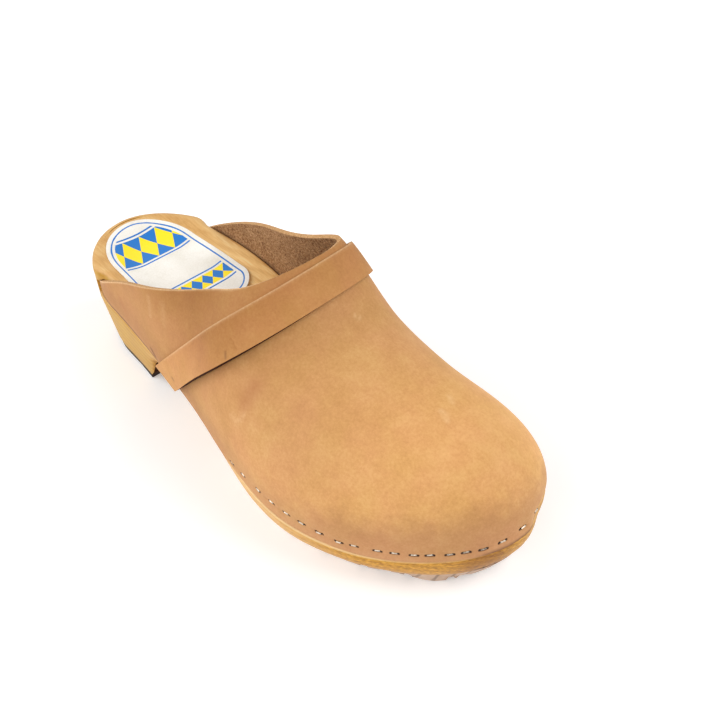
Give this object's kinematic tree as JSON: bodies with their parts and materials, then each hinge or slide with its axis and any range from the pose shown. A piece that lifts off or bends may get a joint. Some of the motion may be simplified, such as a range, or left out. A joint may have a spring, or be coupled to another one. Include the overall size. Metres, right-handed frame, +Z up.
{
  "type": "leather clog",
  "caption": "Open-backed right clog: tan leather upper set in the rabbet of a carved wood sole with block heel, instep strap, rubber tread and heel label.",
  "frame": {"origin": "middle of the bounding box, on the floor the treads stand on", "axes": "+X from heel to toe, +Y to the inner (big toe) side, +Z up"},
  "size_m": [0.255, 0.0936, 0.0931],
  "materials": {
    "wood": "satin",
    "leather": "matte nubuck",
    "strap_leather": "matte nubuck",
    "rubber": "matte",
    "label_card": "matte coated card",
    "staple_wire": "bright drawn wire"
  },
  "bodies": {
    "root": {"wood_sole": "wood", "upper": "leather", "strap": "strap_leather", "tread_forefoot": "rubber", "tread_heel": "rubber", "label": "label_card"}
  },
  "joints": []
}
